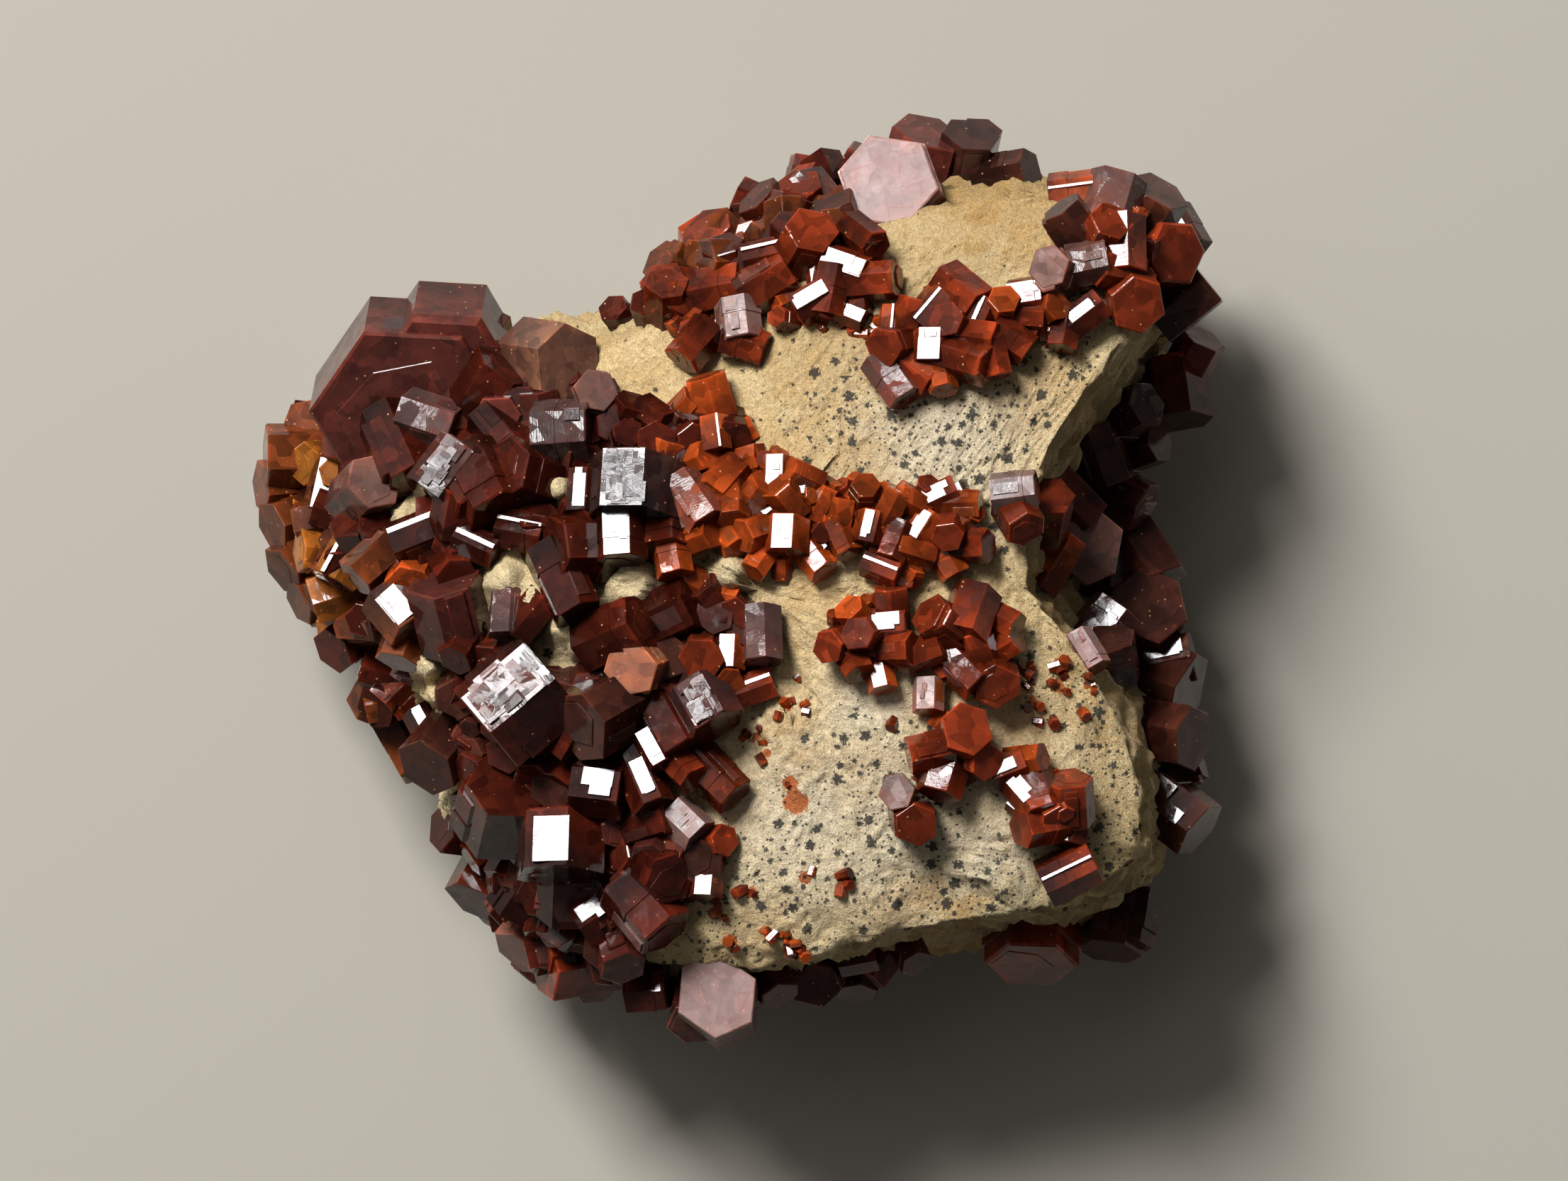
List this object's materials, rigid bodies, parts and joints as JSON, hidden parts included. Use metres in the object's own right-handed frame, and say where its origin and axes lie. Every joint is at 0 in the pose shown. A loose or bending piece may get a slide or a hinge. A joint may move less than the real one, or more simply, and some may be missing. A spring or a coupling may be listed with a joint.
{
  "type": "mineral specimen",
  "caption": "Hexagonal red to deep brown vanadinite crystals grown over a pale, dendrite-specked plate of rock, lying on its flat broken back",
  "frame": {"origin": "on the flat resting face at the back of the rock, below the middle of the front", "axes": "+Z out of the crystal-covered front, +X to the right across the front, +Y up the front"},
  "size_m": [0.0699, 0.0672, 0.0356],
  "materials": {
    "matrix_rock": "matt pale cream to buff limestone, finely granular, with blue-black dendrites and small orange stains",
    "vanadinite_red": "brick red to orange red vanadinite, adamantine lustre, translucent edges",
    "vanadinite_dark": "dark maroon to brown vanadinite, adamantine lustre on prism faces",
    "vanadinite_pink": "dull pinkish mauve basal faces on red-brown vanadinite"
  },
  "bodies": {
    "root": {"matrix": "matrix_rock", "central_left_druse": "vanadinite_dark", "upper_left_druse": "vanadinite_dark", "right_flank_druse": "vanadinite_dark", "upper_right_barrels": "vanadinite_red", "left_edge_barrels": "vanadinite_dark", "crown_pink_hexagon_group": "vanadinite_pink", "top_edge_barrels": "vanadinite_dark", "upper_plate_cluster": "vanadinite_red", "bottom_red_tablets": "vanadinite_dark", "lower_left_bowl_crystals": "vanadinite_dark", "lower_plate_south_cluster": "vanadinite_red", "lower_plate_east_cluster": "vanadinite_red", "right_hollow_pink_brown_crystals": "vanadinite_dark", "bottom_pink_hexagon_group": "vanadinite_pink", "right_shoulder_crystals": "vanadinite_dark", "far_left_barrels": "vanadinite_dark", "lower_left_hexagons": "vanadinite_dark", "upper_right_brown_crystal": "vanadinite_dark", "lower_right_chain": "vanadinite_red", "right_hollow_barrels": "vanadinite_red", "hopper_crystal": "vanadinite_red", "left_frosty_barrel": "vanadinite_dark", "lower_plate_west_cluster": "vanadinite_red", "upper_edge_barrel": "vanadinite_red", "top_lit_barrel": "vanadinite_red", "left_lower_barrel": "vanadinite_dark", "upper_edge_small_barrel": "vanadinite_red", "lower_right_amber_crystal": "vanadinite_red", "bottom_edge_hexagon": "vanadinite_red", "right_flank_lit_tablet": "vanadinite_red", "right_ledge_crystal": "vanadinite_red", "left_red_square_crystal": "vanadinite_red", "upper_plate_lit_tablet": "vanadinite_red", "ridge_west_cluster": "vanadinite_red", "ridge_east_cluster": "vanadinite_red", "ridge_middle_cluster": "vanadinite_red", "lower_plate_upright_crystal": "vanadinite_red"}
  },
  "joints": []
}
